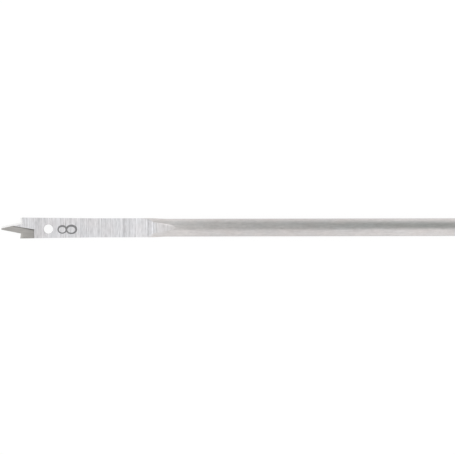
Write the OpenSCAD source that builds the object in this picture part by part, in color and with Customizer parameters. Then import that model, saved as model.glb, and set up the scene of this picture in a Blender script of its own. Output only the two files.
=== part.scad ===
// Long spade bit for drilling wood, forged and ground from one steel bar.
// The bit lies along X with its point towards -X, and the flats of its blade face +Z and -Z.
// The origin is on the axis, at the drive end. Inside the modules x is measured from the tip.
// Both faces of the bit are ground alike, so one face turned half a turn about X gives the other.

/* [Overall] */
// Length from the tip of the point to the drive end
bit_length = 400; // [250:1:600]
// Diameter of the round bar
bar_d = 6.8; // [6.5:0.05:7]

/* [Drive end] */
// Distance across the six pressed flats
hex_af = 6.35; // [6.1:0.05:6.4]
// Distance across the rounded corners between the flats
hex_corner_d = 7.2; // [7.1:0.05:7.3]
// Length of the flats
hex_length = 28; // [15:1:60]
// Length over which the corners rise out of the bar and the flats sink into it
hex_lead = 1; // [0.5:0.1:2]
// Size of the chamfer round the end
end_chamfer = 0.8; // [0.4:0.1:1.5]

/* [Blade] */
// Width across the cutting lips, the size of the hole that the bit drills
cut_d = 8; // [7.6:0.1:9]
// Width at the back of the blade, narrower than the lips so that the blade runs free
back_w = 7.3; // [7:0.1:7.6]
// Length behind the lips over which the blade narrows
taper_length = 29; // [15:0.5:45]
// Thickness of the blade
blade_t = 2.8; // [2.2:0.1:3.4]
// Length of the flat blade, from the lips to the foot of the shoulder
blade_length = 48.9; // [30:0.1:80]

/* [Neck] */
// Length of the curved shoulder at the back of the blade
shoulder_length = 2.4; // [1.5:0.1:4]
// Thickness at the top of the shoulder
neck_t = 5.75; // [4.5:0.05:6]
// Length of the curve in which the forged flats run out on the bar
run_out_length = 8.2; // [6:0.2:16]
// Length in front of the shoulder's foot over which the edges of the blade turn round
edge_fade = 3; // [1:0.5:8]
// Length from the shoulder's foot to the full round of the bar
neck_length = 6.5; // [5:0.5:12]

/* [Centre point] */
// Length of the point in front of the lips, at their outer corners
point_length = 7.2; // [5:0.1:10]
// Width of the point at its root, between the lips
root_w = 4.1; // [3.4:0.1:4.6]
// Width of the chisel edge in which the two sides of the point meet
tip_w = 0.5; // [0.3:0.05:0.8]
// Angle at which the sides of the point fall away behind their cutting edges
point_relief = 16; // [8:1:18]

/* [Cutting lips] */
// Angle by which the outer corner of each lip leads its inner end
lip_lead = 8; // [0:1:12]
// Angle at which the end of each lip falls away behind its cutting edge
lip_clearance = 16; // [6:1:20]
// Depth of the ground rake face below the blade at the lip
lip_drop = 0.45; // [0.4:0.05:0.6]
// Angle at which the rake face deepens, from the tip backwards
rake_angle = 3; // [1:0.5:5]
// Length of the rake face behind the lip
rake_length = 5.4; // [4:0.1:7]
// Angle between the side wall of the rake face and the axis
wall_skew = 9.6; // [6:0.1:14]
// Distance behind the lip at which that side wall crosses the axis
wall_cross = 2.1; // [1:0.1:3]
// Slope of the side wall
wall_slope = 65; // [50:1:80]
// Slope of the wall at the end of the rake face
end_slope = 80; // [60:1:85]

/* [Hole in the blade] */
// Diameter of the hole
hole_d = 3.6; // [2:0.1:4]
// Distance from the lips to the middle of the hole
hole_from_lip = 10.8; // [9.5:0.1:16]
// Distance of the hole's middle from the axis
hole_side = -0.4; // [-0.6:0.1:0.6]

/* [Hidden] */
$fn = 96;

steel = [0.76, 0.76, 0.77];
// Steps in the curves of the shoulder and of the run-out
shoulder_steps = 10;
run_out_steps = 12;
// Room by which an enclosing shape stands clear of what it encloses
spare = 0.5;
// Room that keeps the round of the neck off the blade's corners where it begins
hair = 0.02;

bar_r = bar_d / 2;
lip_x = point_length;
lip_z = blade_t / 2 - lip_drop;
// Height of the rake face at the tip, and distance from the axis to the cutting edge there
tip_z = lip_z + point_length * tan(rake_angle);
tip_y = tip_w / 2 + tip_z * tan(point_relief);
blade_end = lip_x + blade_length;
shoulder_end = blade_end + shoulder_length;
neck_end = blade_end + neck_length;
hex_start = bit_length - hex_length;
// Height of the hexagon's corners above the bar, and depth of its flats below it
corner_rise = (hex_corner_d - bar_d) / 2;
flat_sink = (bar_d - hex_af) / 2;
// Width of the blade where its edges begin to turn round
fade_w = max(back_w, cut_d - (cut_d - back_w) * (blade_length - edge_fade) / taper_length);
// Distance from the axis to the corners of the blade's section, at the lips and there
lip_corner_r = norm([cut_d, blade_t]) / 2;
fade_corner_r = norm([fade_w, blade_t]) / 2;
outer_r = max(lip_corner_r, bar_r) + spare;
// Longer than any cut needs, for the planes that grind the head
reach = 2 * (point_length + rake_length + cut_d);

// A share from 0 to 1, eased at both ends
function eased(share) = share * share * (3 - 2 * share);

// Half the thickness along the shoulder, from its foot at 0 to its top at 1
function shoulder_z(share) = (blade_t + (neck_t - blade_t) * eased(share)) / 2;

// Half the thickness along the run-out, from the top of the shoulder at 0 to the round of the bar at 1
function run_out_z(share) = neck_t / 2 + (bar_r - neck_t / 2) * share * share;

// Mirrors an outline's upper side to its lower side, and closes it
function both_sides(upper) =
    concat(upper, [for (i = [len(upper) - 1:-1:0]) [upper[i][0], -upper[i][1]]]);

// All space above the local XY plane, as far as the cuts need
module above_plane() {
    translate([-reach, -reach, 0]) cube(2 * reach);
}

// All space on the -Y side of the local XZ plane
module beside_plane() {
    translate([-reach, -2 * reach, -reach]) cube(2 * reach);
}

// All space on the -X side of the local YZ plane
module before_plane() {
    translate([-2 * reach, -reach, -reach]) cube(2 * reach);
}

// The bit seen on its face: the blade narrows behind the lips, and the outline clears the bar
module face_outline() {
    clear_w = max(back_w, bar_d) / 2 + spare;
    linear_extrude(height = 4 * outer_r, center = true)
        polygon(both_sides([
            [0, cut_d / 2],
            [lip_x, cut_d / 2],
            [lip_x + taper_length, back_w / 2],
            [shoulder_end, back_w / 2],
            [neck_end, clear_w],
            [bit_length, clear_w]
        ]));
}

// The bit seen on its edge: flat blade, curved shoulder, and flats that curve out through the bar
module edge_outline() {
    past_bar = sqrt((bar_r + spare - neck_t / 2) / (bar_r - neck_t / 2));
    shoulder = [for (i = [0:shoulder_steps])
        let (share = i / shoulder_steps)
        [blade_end + shoulder_length * share, shoulder_z(share)]];
    run_out = [for (i = [1:run_out_steps])
        let (share = past_bar * i / run_out_steps)
        [shoulder_end + run_out_length * share, run_out_z(share)]];
    rotate([90, 0, 0])
        linear_extrude(height = 4 * outer_r, center = true)
            polygon(both_sides(concat(
                [[0, blade_t / 2]],
                shoulder,
                run_out,
                [[bit_length, bar_r + spare]]
            )));
}

// The round of the bar, and the cone by which it opens out past the corners of the blade
module round_envelope() {
    rotate([0, 90, 0])
        rotate_extrude()
            polygon([
                [0, 0],
                [outer_r, 0],
                [outer_r, blade_end - edge_fade],
                [fade_corner_r + hair, blade_end - edge_fade],
                [bar_r, neck_end],
                [bar_r, hex_start],
                [bar_r - 2 * flat_sink, hex_start + 2 * hex_lead],
                [0, hex_start + 2 * hex_lead]
            ]);
}

// The six flats pressed on the end of the bar, with a flat to the top and one underneath
module drive_end() {
    intersection() {
        translate([hex_start - hex_lead, 0, 0])
            rotate([0, 90, 0])
                rotate([0, 0, 30])
                    cylinder(h = hex_length + hex_lead, d = hex_af / cos(30), $fn = 6);
        rotate([0, 90, 0])
            rotate_extrude()
                polygon([
                    [0, hex_start - hex_lead],
                    [bar_r - corner_rise, hex_start - hex_lead],
                    [bar_r + corner_rise, hex_start + hex_lead],
                    [bar_r + corner_rise, bit_length - end_chamfer],
                    [bar_r + corner_rise - end_chamfer, bit_length],
                    [0, bit_length]
                ]);
    }
}

// The bit as it is forged, before it is ground
module forging() {
    intersection() {
        face_outline();
        edge_outline();
        round_envelope();
    }
    drive_end();
}

// What is ground off beside the point and in front of one lip, with its cutting edges on the +Z face
module lip_notch() {
    edge_yaw = atan((root_w / 2 - tip_y) / point_length);
    edge_run = point_length / cos(edge_yaw);
    edge_fall = atan((tip_z - lip_z) / edge_run);
    intersection() {
        translate([0, -tip_y, tip_z])
            rotate([point_relief, edge_fall, -edge_yaw])
                beside_plane();
        translate([lip_x, -cut_d / 2, lip_z])
            rotate([0, -lip_clearance, -lip_lead])
                before_plane();
    }
}

// What is ground off the +Z face: the rake face, which runs from the tip to behind one lip
module rake_grind() {
    intersection() {
        translate([lip_x + wall_cross, 0, blade_t / 2])
            rotate([wall_slope - 90, 0, -wall_skew])
                beside_plane();
        translate([lip_x + rake_length, 0, blade_t / 2])
            rotate([0, 90 - end_slope, 0])
                before_plane();
        translate([lip_x, 0, lip_z])
            rotate([0, rake_angle, 0])
                above_plane();
    }
}

module blade_hole() {
    translate([lip_x + hole_from_lip, hole_side, 0])
        cylinder(h = blade_t + 2 * spare, d = hole_d, center = true);
}

module spade_bit() {
    color(steel)
        translate([-bit_length, 0, 0])
            difference() {
                forging();
                for (turn = [0, 180]) rotate([turn, 0, 0]) {
                    lip_notch();
                    rake_grind();
                }
                blade_hole();
            }
}

spade_bit();
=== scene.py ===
"""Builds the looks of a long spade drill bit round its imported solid, with a plain studio stage."""

import math

import bmesh
import bpy
from bpy.props import FloatProperty, FloatVectorProperty, IntProperty, PointerProperty
from mathutils import Euler, Matrix, Vector


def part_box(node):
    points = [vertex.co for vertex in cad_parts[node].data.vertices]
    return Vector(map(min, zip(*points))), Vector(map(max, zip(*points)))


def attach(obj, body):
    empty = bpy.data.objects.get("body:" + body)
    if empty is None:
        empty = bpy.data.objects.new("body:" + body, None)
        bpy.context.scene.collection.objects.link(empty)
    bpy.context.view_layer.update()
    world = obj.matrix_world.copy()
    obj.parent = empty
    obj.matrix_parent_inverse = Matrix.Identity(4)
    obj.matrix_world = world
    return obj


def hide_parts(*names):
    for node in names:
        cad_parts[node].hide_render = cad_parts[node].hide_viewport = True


bl_info = {
    "name": "Spade drill bit",
    "version": (1, 0, 0),
    "blender": (4, 5, 0),
    "location": "View3D > Sidebar > Spade bit",
    "description": "Builds a long flat drill bit with its ground head, stamped size and studio stage",
    "category": "Object",
}

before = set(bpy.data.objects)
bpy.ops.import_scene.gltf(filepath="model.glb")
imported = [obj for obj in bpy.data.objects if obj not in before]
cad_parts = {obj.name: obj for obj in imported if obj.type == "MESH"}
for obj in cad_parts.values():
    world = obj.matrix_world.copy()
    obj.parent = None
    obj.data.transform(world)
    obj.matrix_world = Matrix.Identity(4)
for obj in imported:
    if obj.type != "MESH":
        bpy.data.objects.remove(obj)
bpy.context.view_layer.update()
NODE = "spade_bit"
NODE_LOW, NODE_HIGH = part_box(NODE)
NODE_SIZE = NODE_HIGH - NODE_LOW

MM = 0.001
RIGHT_ANGLE = math.pi / 2
# Room by which a cutting shape stands clear of what it cuts
CLEAR = 0.5 * MM
# Distance within which two corners of a mesh become one
WELD = 0.0005 * MM
# Depth of the lines that a tool leaves in the steel
SCRATCH = 0.03 * MM


def length(name, description, default):
    """A size in metres, shown in the scene's own unit."""
    return FloatProperty(
        name=name,
        description=description,
        default=default,
        unit="LENGTH",
        subtype="DISTANCE",
        precision=5,
    )


def angle(name, description, degrees):
    """An angle, given here in degrees."""
    return FloatProperty(
        name=name,
        description=description,
        default=math.radians(degrees),
        unit="ROTATION",
        subtype="ANGLE",
    )


def share(name, description, default):
    """A number from 0 to 1."""
    return FloatProperty(
        name=name, description=description, default=default, min=0, max=1, subtype="FACTOR"
    )


def colour(name, description, default):
    """A colour of bare metal, as linear red, green and blue."""
    return FloatVectorProperty(
        name=name, description=description, default=default, size=3, min=0, max=1, subtype="COLOR"
    )


class SpadeBitSizes(bpy.types.PropertyGroup):
    """Sizes of the bit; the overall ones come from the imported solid."""

    bit_length: length("Length", "From the tip of the point to the drive end", NODE_SIZE.x)
    cut_d: length("Cut width", "Width across the cutting lips", NODE_SIZE.y)
    bar_d: length("Bar", "Diameter of the round bar", NODE_SIZE.z)

    back_w: length("Back width", "Width at the back of the blade", 7.3 * MM)
    taper_length: length("Taper", "Length behind the lips over which the blade narrows", 29.0 * MM)
    blade_t: length("Blade thickness", "Thickness of the blade", 2.8 * MM)
    blade_length: length("Blade length", "From the lips to the foot of the shoulder", 48.9 * MM)
    shoulder_length: length("Shoulder", "Length of the shoulder behind the blade", 2.4 * MM)
    neck_t: length("Neck thickness", "Thickness at the top of the shoulder", 5.75 * MM)
    run_out_length: length("Run-out", "Length of the curve in which the flats run out", 8.2 * MM)
    edge_fade: length("Edge fade", "Length of blade over which its edges turn round", 3.0 * MM)
    neck_length: length("Neck length", "From the shoulder's foot to the full round", 6.5 * MM)
    edge_round: length("Blade edge", "Radius of the blade's long edges", 0.1 * MM)
    ridge_round: length("Neck ridge", "Radius of the ridges beside the run-out", 0.45 * MM)

    point_length: length("Point length", "Length of the point in front of the lips", 7.2 * MM)
    root_w: length("Point root", "Width of the point between the lips", 4.1 * MM)
    tip_w: length("Tip width", "Width of the chisel edge at the tip", 0.5 * MM)
    point_relief: angle("Point relief", "Lean of the point's flanks behind their edges", 16)
    lip_lead: angle("Lip lead", "Angle by which each lip's outer corner leads", 8)
    lip_clearance: angle("Lip clearance", "Lean of each lip's end behind its edge", 16)
    lip_drop: length("Lip drop", "Depth of the rake face below the blade at the lip", 0.45 * MM)
    rake_angle: angle("Rake", "Angle at which the rake face deepens from the tip backwards", 3)
    rake_length: length("Rake length", "Length of the rake face behind the lip", 5.4 * MM)
    wall_skew: angle("Wall skew", "Angle of the rake's side wall to the axis", 9.6)
    wall_cross: length("Wall crossing", "Where that wall crosses the axis, behind the lip", 2.1 * MM)
    wall_lean: angle("Side wall lean", "Lean of the rake's side wall", 25)
    end_lean: angle("End wall lean", "Lean of the wall at the end of the rake", 10)

    hole_d: length("Hole", "Diameter of the hole in the blade", 3.6 * MM)
    hole_from_lip: length("Hole place", "From the lips to the middle of the hole", 10.8 * MM)
    hole_side: length("Hole offset", "Distance of the hole's middle from the axis", -0.4 * MM)
    hole_rim: length("Hole rim", "Size of the broken edge round the hole", 0.08 * MM)

    hex_af: length("Hexagon", "Distance across the pressed flats", 6.35 * MM)
    hex_corner_d: length("Hexagon corners", "Distance across the rounded corners", 7.2 * MM)
    hex_length: length("Hexagon length", "Length of the flats", 28.0 * MM)
    hex_lead: length("Hexagon lead", "Length over which the flats run in", 1.0 * MM)
    end_chamfer: length("End chamfer", "Size of the chamfer round the end", 0.8 * MM)

    figure_from_tip: length("Figure place", "From the tip to the waist of the figure", 24.9 * MM)
    figure_side: length("Figure offset", "Distance of the figure from the axis", -0.63 * MM)
    small_lobe_l: length("Small lobe length", "Outer length of the small lobe", 3.8 * MM)
    small_lobe_w: length("Small lobe width", "Outer width of the small lobe", 3.35 * MM)
    large_lobe_l: length("Large lobe length", "Outer length of the large lobe", 4.4 * MM)
    large_lobe_w: length("Large lobe width", "Outer width of the large lobe", 3.6 * MM)
    stroke_w: length("Stroke", "Width of the stamped line", 0.64 * MM)
    stroke_foot: length("Stroke foot", "Width at the bottom of the stamped line", 0.34 * MM)
    stroke_depth: length("Stroke depth", "Depth of the stamped line in the large lobe", 0.2 * MM)
    small_depth: length("Small depth", "Depth of the stamped line in the small lobe", 0.18 * MM)
    stroke_lean: share("Stroke lean", "How much heavier the figure is struck at one side", 0.27)
    stroke_swell: share("Stroke swell", "How much heavier the figure is struck at one end", 0.2)

    side_steps: IntProperty(name="Side steps", description="Faces on half a narrow side", default=2)
    edge_steps: IntProperty(name="Edge steps", description="Faces on half a rounded edge", default=3)
    round_steps: IntProperty(name="Round steps", description="Faces on a quarter round", default=18)
    flat_steps: IntProperty(name="Flat steps", description="Faces on half a broad side", default=4)
    turn_steps: IntProperty(name="Turn steps", description="Faces round a turned shape", default=96)


class SpadeBitFinish(bpy.types.PropertyGroup):
    """Colours of the bit's bare steel, one for each way in which it was worked; the relief's is
    lightened to a painted highlight.
    """

    blade: colour("Ground blade", "Steel ground across the blade", (0.673, 0.676, 0.694))
    blade_warm: colour("Warm blade", "Where that steel is a little warmer", (0.687, 0.672, 0.682))
    bar: colour("Drawn bar", "Bright drawn steel of the shank", (0.677, 0.658, 0.653))
    bar_warm: colour("Warm bar", "Where that steel is a little warmer", (0.689, 0.652, 0.639))
    rake: colour("Rake face", "Fresh ground steel of the rake and the point", (0.388, 0.376, 0.362))
    # Near white, so that the ground ends and flanks show a painted highlight
    relief: colour("Relief", "Ground ends of the lips and flanks of the point", (0.900, 0.895, 0.892))
    stamp: colour("Stamp", "Steel at the bottom of the stamped figure", (0.250, 0.250, 0.252))
    bore: colour("Bore", "Wall of the hole", (0.560, 0.556, 0.556))
    blade_rough: share("Blade roughness", "Roughness of the ground blade", 0.42)
    bar_rough: share("Bar roughness", "Roughness of the drawn bar", 0.30)
    rake_rough: share("Rake roughness", "Roughness of the fresh ground faces", 0.40)


class SpadeBitStage(bpy.types.PropertyGroup):
    """Where the camera stands and what the steel mirrors."""

    view_width: length("View width", "Width of the view at the bit", 174.17 * MM)
    view_from_tip: length("View centre", "From the tip to the middle of the view", 86.52 * MM)
    view_side: length("View offset", "Distance of the view's middle from the axis", 0.034 * MM)
    view_roll: angle("View roll", "Turn of the camera about its own line of sight", -0.114)
    camera_height: length("Camera height", "Height of the camera above the axis", 2.0)
    floor_radius: length("Floor", "Radius of the floor", 6.0)
    card_radius: length("Card radius", "Radius of the curved card over the bar", 14 * MM)
    card_near: share("Card near", "How far the card falls below white at the neck", 0.26)
    card_far: share("Card far", "How far it falls below white down the bar", 0.52)


# Node trees


class Field:
    """A value in a node tree that takes part in plain arithmetic."""

    def __init__(self, maker, socket):
        self.maker = maker
        self.socket = socket

    def __add__(self, other):
        return self.maker.math("ADD", self, other)

    def __radd__(self, other):
        return self.maker.math("ADD", other, self)

    def __sub__(self, other):
        return self.maker.math("SUBTRACT", self, other)

    def __rsub__(self, other):
        return self.maker.math("SUBTRACT", other, self)

    def __mul__(self, other):
        return self.maker.math("MULTIPLY", self, other)

    def __rmul__(self, other):
        return self.maker.math("MULTIPLY", other, self)

    def __truediv__(self, other):
        return self.maker.math("DIVIDE", self, other)

    def __lt__(self, other):
        return self.maker.math("LESS_THAN", self, other)

    def __gt__(self, other):
        return self.maker.math("GREATER_THAN", self, other)


class NodeMaker:
    """Adds nodes to one tree. What feeds a socket is a value, another socket or a Field."""

    def __init__(self, tree):
        self.tree = tree

    def feed(self, socket, value):
        if isinstance(value, Field):
            value = value.socket
        if isinstance(value, bpy.types.NodeSocket):
            self.tree.links.new(value, socket)
        elif value is not None:
            socket.default_value = value

    def add(self, kind, *values, **settings):
        node = self.tree.nodes.new(kind)
        for name, value in settings.items():
            setattr(node, name, value)
        for socket, value in zip(node.inputs, values):
            self.feed(socket, value)
        return node

    def math(self, operation, *values):
        return Field(self, self.add("ShaderNodeMath", *values, operation=operation).outputs[0])

    def ramp(self, value, start, end, low=0.0, high=1.0, interpolation="LINEAR"):
        """low up to start, high from end on, and a straight or eased way between them."""
        node = self.add(
            "ShaderNodeMapRange", value, start, end, low, high, interpolation_type=interpolation
        )
        return Field(self, node.outputs[0])

    def parts(self, vector):
        """The three components of a vector."""
        return [Field(self, s) for s in self.add("ShaderNodeSeparateXYZ", vector).outputs]

    def vector(self, x, y, z):
        return self.add("ShaderNodeCombineXYZ", x, y, z).outputs[0]


class GeometryTree(NodeMaker):
    """A Geometry Nodes tree with named inputs, run once on an object to give a plain mesh."""

    def __init__(self, name):
        super().__init__(bpy.data.node_groups.new(name, "GeometryNodeTree"))
        self.values = {}
        self.tree.interface.new_socket("Geometry", in_out="INPUT", socket_type="NodeSocketGeometry")
        self.tree.interface.new_socket("Geometry", in_out="OUTPUT", socket_type="NodeSocketGeometry")
        self.source = self.tree.nodes.new("NodeGroupInput")
        self.sink = self.tree.nodes.new("NodeGroupOutput")

    @property
    def base(self):
        return self.source.outputs[0]

    def input(self, name, value):
        """A named input of the tree, which takes this value when the tree is run."""
        kind = "NodeSocketInt" if isinstance(value, int) else "NodeSocketFloat"
        item = self.tree.interface.new_socket(name, in_out="INPUT", socket_type=kind)
        self.values[item.identifier] = value
        return Field(self, self.source.outputs[name])

    def run(self, base, geometry, material):
        """Ends the tree in this geometry, runs it on the base object and keeps the plain mesh."""
        realized = self.add("GeometryNodeRealizeInstances", geometry).outputs[0]
        coated = self.add("GeometryNodeSetMaterial", realized)
        coated.inputs["Material"].default_value = material
        self.feed(self.sink.inputs[0], coated.outputs[0])
        modifier = base.modifiers.new(self.tree.name, "NODES")
        modifier.node_group = self.tree
        for identifier, value in self.values.items():
            modifier[identifier] = value
        keep_result(base)
        shape = bmesh.new()
        shape.from_mesh(base.data)
        face_outwards(shape)
        shape.to_mesh(base.data)
        shape.free()


# Meshes


def add_object(name, mesh):
    piece = bpy.data.objects.new(name, mesh)
    bpy.context.scene.collection.objects.link(piece)
    return piece


def face_outwards(shape):
    """Turns the faces of a closed shape to look out of it."""
    bmesh.ops.recalc_face_normals(shape, faces=shape.faces)
    if shape.calc_volume(signed=True) < 0:
        bmesh.ops.reverse_faces(shape, faces=shape.faces)


def object_from(name, shape, material):
    """An object whose mesh is this bmesh, which is used up."""
    face_outwards(shape)
    mesh = bpy.data.meshes.new(name)
    shape.to_mesh(mesh)
    shape.free()
    mesh.materials.append(material)
    return add_object(name, mesh)


def keep_result(piece):
    """Replaces an object's mesh by what its modifiers make of it, and takes them off."""
    graph = bpy.context.evaluated_depsgraph_get()
    made = bpy.data.meshes.new_from_object(piece.evaluated_get(graph))
    old = piece.data
    piece.modifiers.clear()
    piece.data = made
    bpy.data.meshes.remove(old)


def combine(piece, other, operation):
    """Cuts, joins or crosses one closed mesh with another, which is used up."""
    modifier = piece.modifiers.new("combine", "BOOLEAN")
    modifier.object = other
    modifier.operation = operation
    modifier.solver = "MANIFOLD"
    modifier.material_mode = "TRANSFER"
    keep_result(piece)
    if not piece.data.polygons:
        raise RuntimeError(f"nothing is left of {piece.name} after it met {other.name}")
    used = other.data
    bpy.data.objects.remove(other)
    bpy.data.meshes.remove(used)


def turned(name, profile, steps, material, place=Matrix()):
    """A closed shape turned about X, from (x, radius) points that begin and end on the axis."""
    shape = bmesh.new()
    rings = []
    for x, radius in profile:
        count = steps if radius else 1
        angles = [math.tau * i / steps for i in range(count)]
        rings.append(
            [shape.verts.new((x, radius * math.cos(a), radius * math.sin(a))) for a in angles]
        )
    for ring, following in zip(rings, rings[1:]):
        for i in range(steps):
            corners = [ring[i % len(ring)], ring[(i + 1) % len(ring)]]
            corners += [following[(i + 1) % len(following)], following[i % len(following)]]
            shape.faces.new(list(dict.fromkeys(corners)))
    shape.transform(place)
    return object_from(name, shape, material)


def half_space(point, facing, turn=(0, 0, 0)):
    """A plane as a point and the direction that leaves the space it bounds, turned about X, Y, Z."""
    return Vector(point), Euler(turn).to_matrix() @ Vector(facing)


def block(name, half_spaces, reach, half_turn, material):
    """The space that all the half spaces share, half a turn about X further on if asked."""
    shape = bmesh.new()
    bmesh.ops.create_cube(shape, size=2 * reach)
    for point, outward in half_spaces:
        everything = shape.verts[:] + shape.edges[:] + shape.faces[:]
        cut = bmesh.ops.bisect_plane(
            shape, geom=everything, plane_co=point, plane_no=outward, clear_outer=True
        )
        rim = [e for e in cut["geom_cut"] if isinstance(e, bmesh.types.BMEdge)]
        bmesh.ops.edgeloop_fill(shape, edges=rim)
    if half_turn:
        shape.transform(Matrix.Rotation(math.pi, 4, "X"))
    return object_from(name, shape, material)


# The bit


class Places:
    """Places along the bit, measured from the tip, and the radii that the sizes give."""

    def __init__(self, sizes):
        self.tip = -sizes.bit_length
        self.lip = sizes.point_length
        self.lip_z = sizes.blade_t / 2 - sizes.lip_drop
        self.tip_z = self.lip_z + sizes.point_length * math.tan(sizes.rake_angle)
        self.tip_y = sizes.tip_w / 2 + self.tip_z * math.tan(sizes.point_relief)
        self.taper_end = self.lip + sizes.taper_length
        self.blade_end = self.lip + sizes.blade_length
        self.fade = self.blade_end - sizes.edge_fade
        self.shoulder_end = self.blade_end + sizes.shoulder_length
        self.run_out_end = self.shoulder_end + sizes.run_out_length
        self.neck_end = self.blade_end + sizes.neck_length
        self.hex_start = sizes.bit_length - sizes.hex_length
        self.bar_end = self.hex_start + 2 * sizes.hex_lead
        self.bar_r = sizes.bar_d / 2
        self.corner_rise = (sizes.hex_corner_d - sizes.bar_d) / 2
        self.flat_sink = (sizes.bar_d - sizes.hex_af) / 2
        narrowing = (sizes.cut_d - sizes.back_w) / sizes.taper_length
        fade_w = max(sizes.back_w, sizes.cut_d - narrowing * (self.fade - self.lip))
        self.fade_corner = math.hypot(fade_w, sizes.blade_t) / 2
        self.reach = 2 * (sizes.point_length + sizes.rake_length + sizes.cut_d)


def centre_line(places):
    """The bit's axis as a chain of corners, close together where the section changes."""
    # Where each stretch begins, and the number of steps to the next one
    spans = [
        (0, 4),
        (places.lip, 10),
        (places.taper_end, 6),
        (places.fade, 12),
        (places.blade_end, 24),
        (places.shoulder_end, 46),
        (places.run_out_end, 40),
        (places.hex_start, 2),
        (places.bar_end, 0),
    ]
    stations = []
    for (start, steps), (end, _) in zip(spans, spans[1:]):
        stations += [start + (end - start) * i / steps for i in range(steps)]
    stations.append(places.bar_end)
    mesh = bpy.data.meshes.new("centre line")
    corners = [(places.tip + x, 0, 0) for x in stations]
    mesh.from_pydata(corners, [(i, i + 1) for i in range(len(corners) - 1)], [])
    return add_object(NODE + "_visual", mesh)


def forged_bar(sizes, places, material):
    """Sweeps the bit's section along its axis: a flat blade, a neck and a round bar in one.

    Each section is a rectangle inside a circle, with its edges rounded. Its corners are counted
    from the narrow side: along that side, round its edge, along the circle, round the next edge
    and along the broad side, and then back for the other three quarters.
    """
    tree = GeometryTree("forged bar")
    tip = tree.input("Tip", places.tip)
    lip = tree.input("Lips", places.lip)
    taper_end = tree.input("Taper end", places.taper_end)
    fade = tree.input("Edges turn round", places.fade)
    blade_end = tree.input("Blade end", places.blade_end)
    shoulder_end = tree.input("Shoulder end", places.shoulder_end)
    run_out_end = tree.input("Run-out end", places.run_out_end)
    neck_end = tree.input("Neck end", places.neck_end)
    hex_start = tree.input("Hexagon start", places.hex_start)
    bar_end = tree.input("Bar end", places.bar_end)
    lip_half = tree.input("Half width at the lips", sizes.cut_d / 2)
    back_half = tree.input("Half width at the back", sizes.back_w / 2)
    blade_half = tree.input("Half thickness of the blade", sizes.blade_t / 2)
    neck_half = tree.input("Half thickness of the neck", sizes.neck_t / 2)
    bar_r = tree.input("Bar radius", places.bar_r)
    fade_corner = tree.input("Radius at the blade's corners", places.fade_corner)
    lead_drop = tree.input("Drop under the hexagon", 2 * places.flat_sink)
    edge_round = tree.input("Blade edge radius", sizes.edge_round)
    ridge_round = tree.input("Neck ridge radius", sizes.ridge_round)
    clear = tree.input("Room round the blade", CLEAR)
    side_steps = tree.input("Side steps", sizes.side_steps)
    edge_steps = tree.input("Edge steps", sizes.edge_steps)
    round_steps = tree.input("Round steps", sizes.round_steps)
    flat_steps = tree.input("Flat steps", sizes.flat_steps)

    edge_1 = side_steps
    circle = edge_1 + edge_steps
    edge_2 = circle + round_steps
    flat = edge_2 + edge_steps
    quarter = flat + flat_steps

    ring = tree.add("GeometryNodeCurvePrimitiveCircle", quarter * 4)
    count = tree.add("GeometryNodeCaptureAttribute", ring.outputs[0])
    count.capture_items.new("FLOAT", "Corner")
    tree.feed(count.inputs["Corner"], tree.add("GeometryNodeInputIndex").outputs[0])
    axis = tree.add("GeometryNodeMeshToCurve", tree.base)
    sweep = tree.add("GeometryNodeCurveToMesh", axis.outputs[0], count.outputs[0])
    sweep.inputs["Fill Caps"].default_value = True
    corner = Field(tree, count.outputs["Corner"])
    row_x, _, _ = tree.parts(tree.add("GeometryNodeInputPosition").outputs[0])
    x = row_x - tip

    half_w = tree.ramp(x, lip, taper_end, lip_half, back_half)
    half_w += tree.ramp(x, shoulder_end, neck_end, 0, clear)
    half_t = tree.ramp(x, blade_end, shoulder_end, blade_half, neck_half, "SMOOTHSTEP")
    on_run_out = tree.ramp(x, shoulder_end, run_out_end)
    half_t += on_run_out * on_run_out * (bar_r - neck_half)
    half_t += tree.ramp(x, run_out_end, hex_start, 0, clear)
    radius = tree.ramp(x, fade, neck_end, fade_corner, bar_r) + (x < fade) * clear
    radius -= tree.ramp(x, hex_start, bar_end, 0, lead_drop)
    edge = tree.ramp(x, blade_end, shoulder_end, edge_round, ridge_round, "SMOOTHSTEP")

    inner_w = half_w - edge
    inner_t = half_t - edge
    diagonal = tree.math("SQRT", inner_w * inner_w + inner_t * inner_t)
    reach = tree.math("MINIMUM", radius - edge, diagonal)
    side_turn = tree.math("ARCCOSINE", tree.math("MINIMUM", inner_w / reach, 1))
    flat_turn = tree.math("ARCSINE", tree.math("MINIMUM", inner_t / reach, 1))

    fold = tree.math("PINGPONG", corner, quarter)
    on_circle = tree.ramp(fold, circle, edge_2)
    place_turn = side_turn + (flat_turn - side_turn) * on_circle
    outward_turn = side_turn * tree.ramp(fold, edge_1, circle) + (flat_turn - side_turn) * on_circle
    outward_turn += (RIGHT_ANGLE - flat_turn) * tree.ramp(fold, edge_2, flat)
    y = reach * tree.math("COSINE", place_turn) * tree.ramp(fold, flat, quarter, 1, 0)
    y += edge * tree.math("COSINE", outward_turn)
    z = reach * tree.math("SINE", place_turn) * tree.ramp(fold, 0, edge_1)
    z += edge * tree.math("SINE", outward_turn)
    y_sign = 1 - 2 * ((corner > quarter) * (corner < quarter * 3))
    z_sign = 1 - 2 * (corner > quarter * 2)

    shaped = tree.add("GeometryNodeSetPosition", sweep.outputs[0])
    tree.feed(shaped.inputs["Position"], tree.vector(row_x, y * y_sign, z * z_sign))
    welded = tree.add("GeometryNodeMergeByDistance", shaped.outputs[0])
    welded.inputs["Distance"].default_value = WELD
    piece = centre_line(places)
    tree.run(piece, welded.outputs[0], material)
    return piece


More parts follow.
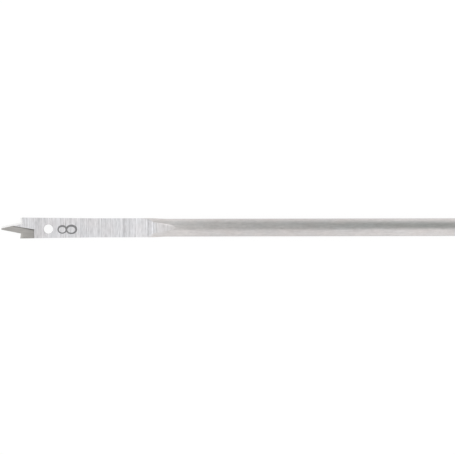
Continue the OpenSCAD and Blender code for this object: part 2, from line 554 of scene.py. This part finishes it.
def press_hexagon(piece, sizes, places, material):
    """Joins the hexagonal drive end to the bar, with rounded corners and a chamfered end."""
    corner_r = places.bar_r + places.corner_rise
    start = places.tip + places.hex_start - sizes.hex_lead
    rounded = [
        (start, 0),
        (start, places.bar_r - places.corner_rise),
        (start + 2 * sizes.hex_lead, corner_r),
        (-sizes.end_chamfer, corner_r),
        (0, corner_r - sizes.end_chamfer),
        (0, 0),
    ]
    sides = 6
    hexagon_r = sizes.hex_af / 2 / math.cos(math.pi / sides)
    flats = [
        (start - CLEAR, 0),
        (start - CLEAR, hexagon_r),
        (CLEAR, hexagon_r),
        (CLEAR, 0),
    ]
    drive_end = turned("drive end", rounded, 4 * sizes.round_steps, material)
    combine(drive_end, turned("hexagon", flats, sides, material), "INTERSECT")
    combine(piece, drive_end, "UNION")


def grind_lips(piece, sizes, places, material):
    """Grinds away what stands beside the point and in front of the lips, on both faces."""
    yaw = math.atan((sizes.root_w / 2 - places.tip_y) / sizes.point_length)
    run = sizes.point_length / math.cos(yaw)
    fall = math.atan((places.tip_z - places.lip_z) / run)
    tip_corner = (places.tip, -places.tip_y, places.tip_z)
    lip_corner = (places.tip + places.lip, -sizes.cut_d / 2, places.lip_z)
    beside_point = half_space(tip_corner, (0, 1, 0), (sizes.point_relief, fall, -yaw))
    before_lip = half_space(lip_corner, (1, 0, 0), (0, -sizes.lip_clearance, -sizes.lip_lead))
    for half_turn in (False, True):
        notch = head_block("lip notch", [beside_point, before_lip], places, half_turn, material)
        combine(piece, notch, "DIFFERENCE")


def grind_rake(piece, sizes, places, material):
    """Grinds the rake faces, each from the tip to behind one lip."""
    lip_x = places.tip + places.lip
    surface = sizes.blade_t / 2
    side_wall = half_space(
        (lip_x + sizes.wall_cross, 0, surface), (0, 1, 0), (-sizes.wall_lean, 0, -sizes.wall_skew)
    )
    end_wall = half_space(
        (lip_x + sizes.rake_length, 0, surface), (1, 0, 0), (0, sizes.end_lean, 0)
    )
    above = half_space((lip_x, 0, places.lip_z), (0, 0, -1), (0, sizes.rake_angle, 0))
    for half_turn in (False, True):
        walls = [side_wall, end_wall, above]
        grind = head_block("rake grind", walls, places, half_turn, material)
        combine(piece, grind, "DIFFERENCE")


def head_block(name, half_spaces, places, half_turn, material):
    """A block that reaches past the head on every side."""
    shift = Vector((places.tip, 0, 0))
    moved = [(point - shift, outward) for point, outward in half_spaces]
    cutter = block(name, moved, places.reach, half_turn, material)
    cutter.data.transform(Matrix.Translation(shift))
    return cutter


def drill_hole(piece, sizes, places, material):
    """Drills the hole in the blade, with its two rims broken."""
    radius = sizes.hole_d / 2
    surface = sizes.blade_t / 2
    flare = sizes.hole_rim + CLEAR
    profile = [
        (-surface - CLEAR, 0),
        (-surface - CLEAR, radius + flare),
        (-surface + sizes.hole_rim, radius),
        (surface - sizes.hole_rim, radius),
        (surface + CLEAR, radius + flare),
        (surface + CLEAR, 0),
    ]
    middle = (places.tip + places.lip + sizes.hole_from_lip, sizes.hole_side, 0)
    upright = Matrix.Translation(middle) @ Matrix.Rotation(RIGHT_ANGLE, 4, "Y")
    drill = turned("hole", profile, sizes.turn_steps, material, upright)
    combine(piece, drill, "DIFFERENCE")


def stamp_figure(piece, sizes, places, material):
    """Stamps the size figure in the upper face: two rings that share a waist."""
    shared = sizes.stroke_w / 2
    small = (sizes.small_lobe_l, sizes.small_lobe_w, sizes.small_depth)
    large = (sizes.large_lobe_l, sizes.large_lobe_w, sizes.stroke_depth)
    lobes = ((shared - sizes.small_lobe_l / 2, small), (sizes.large_lobe_l / 2 - shared, large))
    waist = places.tip + sizes.figure_from_tip
    for shift, lobe_size in lobes:
        middle = (waist + shift, sizes.figure_side, sizes.blade_t / 2)
        lobe = stamped_ring(sizes, middle, waist, lobe_size, material)
        combine(piece, lobe, "DIFFERENCE")


def stamped_ring(sizes, middle, waist, lobe_size, material):
    """The groove of one lobe, swept round an ellipse of this length, width and depth."""
    tree = GeometryTree("stamped ring")
    lobe_l = tree.input("Length", lobe_size[0])
    lobe_w = tree.input("Width", lobe_size[1])
    depth = tree.input("Depth", lobe_size[2])
    stroke = tree.input("Stroke at the surface", sizes.stroke_w)
    foot = tree.input("Stroke at the bottom", sizes.stroke_foot)
    lean = tree.input("Lean of the stamp", sizes.stroke_lean)
    swell = tree.input("Swell of the stamp", sizes.stroke_swell)
    half_length = (sizes.small_lobe_l + sizes.large_lobe_l) / 2
    figure_half = tree.input("Half length of the figure", half_length)
    waist_x = tree.input("Waist of the figure", waist)
    side = tree.input("Distance from the axis", middle[1])
    steps = tree.input("Steps", sizes.turn_steps)

    ring = tree.add("GeometryNodeCurvePrimitiveCircle", steps)
    ring.inputs["Radius"].default_value = 1
    path = tree.add("GeometryNodeInstanceOnPoints", tree.base)
    tree.feed(path.inputs["Instance"], ring.outputs[0])
    tree.feed(path.inputs["Scale"], tree.vector((lobe_l - stroke) / 2, (lobe_w - stroke) / 2, 1))
    path = tree.add("GeometryNodeRealizeInstances", path.outputs[0])
    level = tree.add("GeometryNodeSetCurveNormal", path.outputs[0], mode="Z_UP")
    groove = tree.add("GeometryNodeCurvePrimitiveQuadrilateral", mode="TRAPEZOID")
    # The groove's slope goes on above the surface, so that the cut leaves no skin
    tree.feed(groove.inputs["Bottom Width"], foot)
    tree.feed(groove.inputs["Top Width"], stroke * 2 - foot)
    tree.feed(groove.inputs["Height"], depth * 2)
    groove.inputs["Offset"].default_value = 0
    # One corner of the stamp was struck harder
    x, y, _ = tree.parts(tree.add("GeometryNodeInputPosition").outputs[0])
    struck = 1 + (y - side) / lobe_w * 2 * lean + (x - waist_x) / figure_half * swell
    sweep = tree.add("GeometryNodeCurveToMesh", level.outputs[0], groove.outputs[0], struck)
    mesh = bpy.data.meshes.new("lobe")
    mesh.from_pydata([middle], [], [])
    lobe = add_object("lobe", mesh)
    tree.run(lobe, sweep.outputs[0], material)
    return lobe


def smooth_rounds(piece, ground_materials):
    """Shades the rounds smoothly, and keeps ground faces and edges between finishes crisp."""
    crisp = math.radians(30)
    flat_enough = math.radians(2)
    mesh = piece.data
    ground = {i for i, m in enumerate(mesh.materials) if m in ground_materials}
    shape = bmesh.new()
    shape.from_mesh(mesh)
    bmesh.ops.remove_doubles(shape, verts=shape.verts, dist=WELD)
    bmesh.ops.dissolve_degenerate(shape, edges=shape.edges, dist=WELD)
    # Corners that the cuts left in the middle of a straight edge are of no use
    idle = [v for v in shape.verts if len(v.link_edges) == 2 and v.calc_edge_angle(0) < flat_enough]
    bmesh.ops.dissolve_verts(shape, verts=idle)
    for face in shape.faces:
        face.smooth = True
    for edge in shape.edges:
        finishes = {f.material_index for f in edge.link_faces}
        limit = flat_enough if finishes & ground or len(finishes) > 1 else crisp
        edge.smooth = edge.calc_face_angle(math.pi) < limit
    shape.to_mesh(mesh)
    shape.free()
    weighted = piece.modifiers.new("flats stay flat", "WEIGHTED_NORMAL")
    weighted.keep_sharp = True
    keep_result(piece)


# Finishes


class Finish(NodeMaker):
    """The nodes of one bare steel, on coordinates along, across and through the bit."""

    def __init__(self, name):
        self.material = bpy.data.materials.new(name)
        self.material.use_nodes = True
        super().__init__(self.material.node_tree)
        self.shader = self.tree.nodes["Principled BSDF"]
        self.shader.inputs["Metallic"].default_value = 1
        self.coords = self.add("ShaderNodeTexCoord").outputs["Object"]

    def grain(self, spacing, detail=2.0, bend=0.0, coords=None):
        """Lines about as far apart as spacing says along each axis, as a value round 0."""
        mapping = self.add("ShaderNodeMapping", coords or self.coords)
        mapping.inputs["Scale"].default_value = [1 / (s * MM) for s in spacing]
        noise = self.add("ShaderNodeTexNoise", mapping.outputs[0])
        noise.inputs["Scale"].default_value = 1
        noise.inputs["Detail"].default_value = detail
        noise.inputs["Distortion"].default_value = bend
        return Field(self, noise.outputs[0]) - 0.5

    def line(self, value, middle, half_width):
        """1 in the middle of a soft line, and 0 outside it."""
        distance = self.math("ABSOLUTE", value - middle)
        return self.ramp(distance, 0, half_width, 1, 0, "SMOOTHSTEP")

    def tint(self, base, tone):
        """A colour made lighter or darker by a value round 0."""
        scale = self.add("ShaderNodeVectorMath", base, operation="SCALE")
        self.feed(scale.inputs["Scale"], 1 + tone)
        return scale.outputs[0]

    def mix(self, factor, first, second):
        """The first colour where the factor is 0 and the second where it is 1, as vectors."""
        node = self.add("ShaderNodeMix", data_type="VECTOR")
        self.feed(node.inputs[0], factor)
        self.feed(node.inputs[4], first)
        self.feed(node.inputs[5], second)
        return node.outputs[1]

    def finish(self, base, roughness, height, strength):
        """Feeds the shader, with the lines also as a slight relief."""
        bump = self.add("ShaderNodeBump")
        bump.inputs["Strength"].default_value = strength
        bump.inputs["Distance"].default_value = SCRATCH
        self.feed(bump.inputs["Height"], height)
        self.feed(self.shader.inputs["Base Color"], base)
        self.feed(self.shader.inputs["Roughness"], roughness)
        self.feed(self.shader.inputs["Normal"], bump.outputs[0])
        return self.material


# Spacing of the marks in each finish, in millimetres along, across and through the bit
WHEEL_LINES = (0.42, 60, 60)
WHEEL_STROKES = (0.45, 2.6, 2.6)
WHEEL_BANDS = (1.6, 60, 60)
BROKEN_STRETCHES = (8, 2, 2)
BLADE_WARMTH = (5, 5, 5)
DRAWN_LINES = (5, 0.12, 0.12)
CLOUDS = (5, 1.2, 1.2)
SPECKS = (1.6, 0.8, 0.8)
BAR_WARMTH = (7, 2.5, 2.5)
RAKE_LINES = (4, 0.5, 1)
RELIEF_LINES = (2, 2, 0.2)
STAMP_GRAIN = (0.5, 0.5, 0.5)
BORE_LINES = (2, 2, 0.1)
# How much the lines of the wheel on the blade waver, and those of fresh faces
SLIGHT_BEND = 0.05
FRESH_BEND = 0.3
# Diameter of the arcs that the wheel leaves across the blade
WHEEL_ARC_D = 160 * MM
# A shift along the bit that gives the blade's narrow edges lines of their own
OTHER_PASS = 100 * MM
# Value of the grain, below and above 0, at which steel is at its coolest and its warmest
WARMTH_SPAN = 0.2
# What drawn steel keeps of its mirror at its outline, where polished steel keeps all of it
DRAWN_OUTLINE = (0.82, 0.82, 0.82, 1)
# Where the middle of a rounded ridge lies, across the bit from its sharp line
RIDGE_MIDDLE = -0.3 * MM
# Places from the tip over which a stretch of painted shade on the bar comes in, and goes out again
SHADED_STRETCH_FROM = (66 * MM, 80 * MM)
SHADED_STRETCH_TO = (118 * MM, 156 * MM)

# Single marks of the wheel across the blade and the shoulder, and a painted highlight on the crest of
# the shoulder: place from the tip and half width in millimetres, and how much lighter or darker they
# are
WHEEL_MARKS_AND_SHOULDER_HIGHLIGHT = (
    (10.4, 0.5, 0.17),
    (12.45, 0.4, 0.15),
    (13.8, 2.2, -0.13),
    (21.9, 0.5, 0.08),
    (45.6, 0.5, 0.08),
    (47.2, 1.2, -0.12),
    (49.0, 0.7, -0.13),
    (51.8, 0.35, 0.2),
    (53.3, 0.8, 0.08),
    (56.2, 0.75, -0.18),
    # Painted highlight on the crest of the shoulder
    (57.8, 0.35, 0.42),
    (58.25, 0.3, -0.16),
    (59.3, 0.5, -0.1),
    (61.0, 1.2, 0.12),
)


def from_ridge(finish, x, y, sizes, places):
    """Distance across the bit from the ridge between a flat and the round, below 0 on the flat."""
    half_t = finish.ramp(
        x, places.blade_end, places.shoulder_end, sizes.blade_t / 2, sizes.neck_t / 2, "SMOOTHSTEP"
    )
    on_run_out = finish.ramp(x, places.shoulder_end, places.run_out_end)
    half_t += on_run_out * on_run_out * (places.bar_r - sizes.neck_t / 2)
    radius = finish.ramp(x, places.fade, places.neck_end, places.fade_corner, places.bar_r)
    inside = finish.math("MAXIMUM", radius * radius - half_t * half_t, 0)
    return finish.math("ABSOLUTE", y) - finish.math("SQRT", inside)


def ground_flat(finish, x, y, beside, places):
    """1 where the steel has the blade's ground finish, which fades on the forged flats."""
    flat = finish.ramp(beside, -0.35 * MM, -0.1 * MM, 1, 0)
    # At one side the blade's finish reaches further back
    further = finish.ramp(y, -2 * MM, 0, 2.5 * MM, 0)
    on_blade = finish.ramp(x - further, places.fade, places.blade_end, 1, 0)
    flat = finish.math("MAXIMUM", flat, on_blade)
    return flat * finish.ramp(x, places.shoulder_end, places.shoulder_end + 2 * MM, 1, 0.6)


def painted_ridge_highlight(finish, x, y, beside, flat, places):
    """Painted highlight on the ridges beside the run-out, at one side only, and on the end of the
    flat between them.
    """
    ridge = finish.line(beside, RIDGE_MIDDLE, 0.4 * MM)
    ridge *= finish.ramp(x, places.shoulder_end + 1.5 * MM, places.shoulder_end + 3 * MM)
    ridge *= finish.ramp(x, places.run_out_end - 2 * MM, places.run_out_end, 1, 0)
    ridge *= finish.ramp(y, -1 * MM, 1 * MM, 0, 0.25)
    return ridge + flat * finish.ramp(x, places.shoulder_end + 3 * MM, places.run_out_end, 0, 0.1)


def wheel_lines(finish, x, y, beside, places):
    """How much lighter or darker the lines are that the wheel left across the blade, with painted
    light at the shoulder.
    """
    # They are shallow arcs, and the narrow edges were ground in a pass of their own
    _, sideways, _ = finish.parts(finish.add("ShaderNodeNewGeometry").outputs["Normal"])
    on_edge = finish.math("ABSOLUTE", sideways) > 0.7
    arc = x + y * y / WHEEL_ARC_D + on_edge * OTHER_PASS
    swept = finish.vector(arc, y, 0)
    lines, strokes, bands = (
        finish.grain(spacing, bend=SLIGHT_BEND, coords=swept)
        for spacing in (WHEEL_LINES, WHEEL_STROKES, WHEEL_BANDS)
    )
    across = lines * 0.8 + strokes * 0.6 + bands * 0.4
    broken = 1 + finish.grain(BROKEN_STRETCHES) * 1.5
    for from_tip, half_width, tone in WHEEL_MARKS_AND_SHOULDER_HIGHLIGHT:
        across += finish.line(arc, from_tip * MM, half_width * MM) * broken * tone
    across += finish.ramp(x, places.blade_end - 16 * MM, places.shoulder_end, 0, 0.1)
    # Painted shade on the corner of the shoulder at one side, and a faint painted highlight at the
    # other
    corner = finish.line(beside, RIDGE_MIDDLE, 0.9 * MM)
    corner *= finish.line(x, places.blade_end + 1 * MM, 2.5 * MM)
    return across + corner * finish.ramp(y, -2 * MM, 2 * MM, 0.05, -0.17)


def drawing_lines(finish, x, y, places):
    """How much lighter or darker the lines are that drawing left along the bar, with painted shade
    over a stretch of it and at one side behind the neck.
    """
    drawn = finish.grain(DRAWN_LINES)
    clouds = finish.grain(CLOUDS, 3)
    specks = finish.grain(SPECKS)
    along = drawn * 0.4 + clouds * 0.18 + specks * 0.26
    # Painted shade over a stretch of the bar
    along -= finish.ramp(x, *SHADED_STRETCH_FROM) * finish.ramp(x, *SHADED_STRETCH_TO, 0.1, 0)
    # Painted shade at one side of the bar just behind the neck
    shade_behind_neck = finish.line(x, places.neck_end, 7 * MM)
    return along - shade_behind_neck * finish.ramp(y, -0.5 * MM, -1.5 * MM, 0, 0.06)


def ground_and_drawn_steel(colours, sizes, places):
    """Grinding lines across the blade, and fine drawing lines along the bar behind it, with painted
    highlights and shade.
    """
    finish = Finish("ground blade and drawn bar")
    finish.shader.inputs["Specular Tint"].default_value = DRAWN_OUTLINE
    x, y, _ = finish.parts(finish.coords)
    x -= places.tip
    beside = from_ridge(finish, x, y, sizes, places)
    flat = ground_flat(finish, x, y, beside, places)
    is_bar = 1 - flat * finish.ramp(x, places.shoulder_end + 5 * MM, places.run_out_end, 1, 0)
    # Painted highlight on the neck's ridges and the end of its flat
    ridge = painted_ridge_highlight(finish, x, y, beside, flat, places)
    across = wheel_lines(finish, x, y, beside, places)
    along = drawing_lines(finish, x, y, places)

    blade_warmth = finish.ramp(finish.grain(BLADE_WARMTH), -WARMTH_SPAN, WARMTH_SPAN)
    blade_warmth += finish.ramp(x, places.shoulder_end, places.shoulder_end + 2 * MM)
    blade = finish.mix(blade_warmth, colours.blade, colours.blade_warm)
    bar_warmth = finish.ramp(finish.grain(BAR_WARMTH), -WARMTH_SPAN, WARMTH_SPAN)
    bar = finish.mix(bar_warmth, colours.bar, colours.bar_warm)
    base = finish.mix(is_bar, finish.tint(blade, across + ridge), finish.tint(bar, along + ridge))
    height = across * (1 - is_bar) + along * is_bar
    roughness = colours.blade_rough + (colours.bar_rough - colours.blade_rough) * is_bar
    return finish.finish(base, roughness, height, 0.25)


def rake_steel(colours, sizes, places):
    """Fresh from the wheel, with lines along the bit, painted shade on the walls, and darker towards
    the end.
    """
    finish = Finish("fresh ground rake")
    x, y, z = finish.parts(finish.coords)
    x -= places.tip + places.lip
    # The two faces are alike after half a turn, so y is counted the same way on both
    y *= finish.math("SIGN", z)
    lines = finish.grain(RAKE_LINES, 3, FRESH_BEND) * 0.5
    tone = lines + finish.ramp(x, 0, sizes.rake_length, 0.04, -0.1)
    # Painted shade along the foot of the wall, darker along the blade's edge, and brighter behind the
    # lip
    from_wall = y + (x - sizes.wall_cross) * math.tan(sizes.wall_skew)
    tone -= finish.line(from_wall, 0, 0.6 * MM) * 0.2
    tone -= finish.line(y, -sizes.cut_d / 2, 0.5 * MM) * 0.12
    tone += finish.line(x, 0.4 * MM, 0.9 * MM) * finish.ramp(y, -1.6 * MM, -2.2 * MM) * 0.25
    # Painted shade on the steep walls
    _, sideways, _ = finish.parts(finish.add("ShaderNodeNewGeometry").outputs["Normal"])
    tone -= finish.ramp(finish.math("ABSOLUTE", sideways), 0.5, 0.8) * 0.12
    return finish.finish(finish.tint(colours.rake, tone), colours.rake_rough, lines, 0.2)


def plain_ground_steel(name, colour_of, roughness, spacing, contrast):
    """Faces fresh from a tool, with lines in the direction of its travel."""
    finish = Finish(name)
    lines = finish.grain(spacing, 3, FRESH_BEND) * contrast
    return finish.finish(finish.tint(colour_of, lines), roughness, lines, 0.2)


# The stage

# Angles from straight up, in degrees, over which the card's grey band comes in at one side,
# with a faint tail before it, and goes out at the other side
BAND_IN = (-47, -3)
BAND_TAIL = (-95, -38)
BAND_OUT = (36, 122)
# Share of the band's depth that its tail has
TAIL_SHARE = 0.08
# Lengths behind the shoulder over which the band begins, deepens and narrows
BAND_BEGINS = (-4 * MM, 12 * MM)
BAND_DEEPENS = (12 * MM, 100 * MM)
BAND_NARROWS = (40 * MM, 100 * MM)
# Angles from straight up, in degrees, between which the card is bent
CARD_BEND = (-70, 102)


def make_camera(stage, places):
    camera = bpy.data.cameras.new("camera")
    camera.sensor_width = 36
    camera.lens = camera.sensor_width * stage.camera_height / stage.view_width
    camera.clip_end = 4 * stage.camera_height
    stand = add_object("camera", camera)
    stand.location = (places.tip + stage.view_from_tip, stage.view_side, stage.camera_height)
    stand.rotation_euler.z = stage.view_roll
    bpy.context.scene.camera = stand


def seen_directly(maker):
    """1 for rays that show a surface as it is: those of the camera, of gloss and of glass."""
    path = maker.add("ShaderNodeLightPath").outputs
    either = maker.math("MAXIMUM", path["Is Camera Ray"], path["Is Glossy Ray"])
    return maker.math("MAXIMUM", either, path["Is Transmission Ray"])


def white_floor():
    """A white floor that shows a pale shadow and is not seen from below."""
    material = bpy.data.materials.new("white floor")
    material.use_nodes = True
    material.node_tree.nodes.clear()
    maker = NodeMaker(material.node_tree)
    # Its glow and the light that falls on it add up to white outside the shadow
    glow = maker.add("ShaderNodeEmission", (1, 1, 1, 1), 0.91)
    pale = maker.add("ShaderNodeBsdfDiffuse", (0.11, 0.11, 0.11, 1))
    shown = maker.add("ShaderNodeAddShader", glow.outputs[0], pale.outputs[0])
    plain = maker.add("ShaderNodeBsdfDiffuse", (0.8, 0.8, 0.8, 1))
    direct = seen_directly(maker)
    above = maker.add("ShaderNodeMixShader", direct, plain.outputs[0], shown.outputs[0])
    below = maker.add("ShaderNodeBsdfTransparent")
    back = maker.add("ShaderNodeNewGeometry").outputs["Backfacing"]
    whole = maker.add("ShaderNodeMixShader", back, above.outputs[0], below.outputs[0])
    output = maker.add("ShaderNodeOutputMaterial")
    maker.feed(output.inputs["Surface"], whole.outputs[0])
    return material


def make_floor(stage, places):
    shape = bmesh.new()
    bmesh.ops.create_circle(shape, cap_ends=True, segments=64, radius=stage.floor_radius)
    shape.transform(Matrix.Translation((places.tip / 2, 0, NODE_LOW.z)))
    mesh = bpy.data.meshes.new("floor")
    shape.to_mesh(mesh)
    shape.free()
    mesh.materials.append(white_floor())
    add_object("floor", mesh)


def make_world():
    """Even white light from all round."""
    world = bpy.data.worlds.new("white room")
    bpy.context.scene.world = world
    world.use_nodes = True
    background = world.node_tree.nodes["Background"]
    background.inputs["Color"].default_value = (1, 1, 1, 1)
    background.inputs["Strength"].default_value = 1
    world.cycles.sampling_method = "NONE"


def curved_card_tone(stage, places):
    """White, with a soft grey band along one side that comes in behind the neck."""
    material = bpy.data.materials.new("grey card")
    material.use_nodes = True
    material.node_tree.nodes.clear()
    maker = NodeMaker(material.node_tree)
    x, y, z = maker.parts(maker.add("ShaderNodeTexCoord").outputs["Object"])
    turn = maker.math("DEGREES", maker.math("ARCTAN2", y, z))
    # The band narrows down the bar, and low at the side it reaches further forward
    way = x - places.tip - places.shoulder_end
    narrower = maker.ramp(way, *BAND_NARROWS, 0, 8)
    band = maker.ramp(turn - narrower, *BAND_IN, 0, 1 - TAIL_SHARE, "SMOOTHSTEP")
    band += maker.ramp(turn, *BAND_TAIL, 0, TAIL_SHARE)
    band *= maker.ramp(turn + narrower, *BAND_OUT, 1, 0, "SMOOTHSTEP")
    way += maker.ramp(turn, 20, 60, 0, 14 * MM)
    depth = maker.ramp(way, *BAND_BEGINS, 0, stage.card_near, "SMOOTHSTEP")
    depth += maker.ramp(way, *BAND_DEEPENS, 0, stage.card_far - stage.card_near)
    shade = band * depth
    # The grey is a little cool, so that the warm steel looks neutral in it
    tone = maker.add("ShaderNodeCombineColor", 1 - shade * 1.05, 1 - shade, 1 - shade * 1.02)
    glow = maker.add("ShaderNodeEmission", tone.outputs[0], 1)
    output = maker.add("ShaderNodeOutputMaterial")
    maker.feed(output.inputs["Surface"], glow.outputs[0])
    return material


def make_card(stage, places):
    """A card bent over the bar, which only its gloss can see."""
    steps = 48
    first, last = CARD_BEND
    turns = [math.radians(first + (last - first) * i / steps) for i in range(steps + 1)]
    # From over the blade to behind the drive end
    ends = (places.tip + places.blade_end - 30 * MM, 100 * MM)
    corners = [
        (x, stage.card_radius * math.sin(turn), stage.card_radius * math.cos(turn))
        for turn in turns
        for x in ends
    ]
    faces = [(i, i + 1, i + 3, i + 2) for i in range(0, 2 * steps, 2)]
    mesh = bpy.data.meshes.new("grey card")
    mesh.from_pydata(corners, [], faces)
    mesh.materials.append(curved_card_tone(stage, places))
    card = add_object("grey_card", mesh)
    card.visible_camera = False
    card.visible_diffuse = False
    card.visible_shadow = False


class SPADEBIT_OT_stage(bpy.types.Operator):
    """Set up the camera, the white floor and the light"""

    bl_idname = "spade_bit.stage"
    bl_label = "Studio stage"

    def execute(self, context):
        scene = context.scene
        places = Places(scene.spade_bit_sizes)
        stage = scene.spade_bit_stage
        scene.view_settings.view_transform = "Standard"
        make_camera(stage, places)
        make_floor(stage, places)
        make_world()
        make_card(stage, places)
        return {"FINISHED"}


class SPADEBIT_OT_bit(bpy.types.Operator):
    """Forge, grind, drill and stamp the bit"""

    bl_idname = "spade_bit.bit"
    bl_label = "Spade bit"

    def execute(self, context):
        sizes = context.scene.spade_bit_sizes
        colours = context.scene.spade_bit_finish
        places = Places(sizes)
        steel = ground_and_drawn_steel(colours, sizes, places)
        rake = rake_steel(colours, sizes, places)
        # The relief's near-white colour is a painted highlight
        relief = plain_ground_steel(
            "ground relief", colours.relief, colours.rake_rough, RELIEF_LINES, 0.1
        )
        stamp = plain_ground_steel(
            "stamped steel", colours.stamp, colours.rake_rough, STAMP_GRAIN, 0.3
        )
        bore = plain_ground_steel("drilled wall", colours.bore, colours.bar_rough, BORE_LINES, 0.2)
        piece = forged_bar(sizes, places, steel)
        press_hexagon(piece, sizes, places, steel)
        grind_lips(piece, sizes, places, relief)
        grind_rake(piece, sizes, places, rake)
        drill_hole(piece, sizes, places, bore)
        stamp_figure(piece, sizes, places, stamp)
        smooth_rounds(piece, [rake, relief])
        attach(piece, "root")
        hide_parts(NODE)
        return {"FINISHED"}


class SPADEBIT_PT_panel(bpy.types.Panel):
    """Sizes, finishes and stage of the bit"""

    bl_idname = "SPADEBIT_PT_panel"
    bl_label = "Spade bit"
    bl_space_type = "VIEW_3D"
    bl_region_type = "UI"
    bl_category = "Spade bit"

    def draw(self, context):
        scene = context.scene
        for operator in OPERATORS:
            self.layout.operator(operator.bl_idname)
        for group in (scene.spade_bit_sizes, scene.spade_bit_finish, scene.spade_bit_stage):
            box = self.layout.box()
            for name in group.__annotations__:
                box.prop(group, name)


OPERATORS = (SPADEBIT_OT_stage, SPADEBIT_OT_bit)
CLASSES = (SpadeBitSizes, SpadeBitFinish, SpadeBitStage, *OPERATORS, SPADEBIT_PT_panel)


def register():
    for cls in CLASSES:
        bpy.utils.register_class(cls)
    bpy.types.Scene.spade_bit_sizes = PointerProperty(type=SpadeBitSizes)
    bpy.types.Scene.spade_bit_finish = PointerProperty(type=SpadeBitFinish)
    bpy.types.Scene.spade_bit_stage = PointerProperty(type=SpadeBitStage)


def unregister():
    del bpy.types.Scene.spade_bit_stage
    del bpy.types.Scene.spade_bit_finish
    del bpy.types.Scene.spade_bit_sizes
    for cls in reversed(CLASSES):
        bpy.utils.unregister_class(cls)


def main():
    register()
    bpy.ops.spade_bit.stage()
    bpy.ops.spade_bit.bit()


if __name__ == "__main__":
    main()
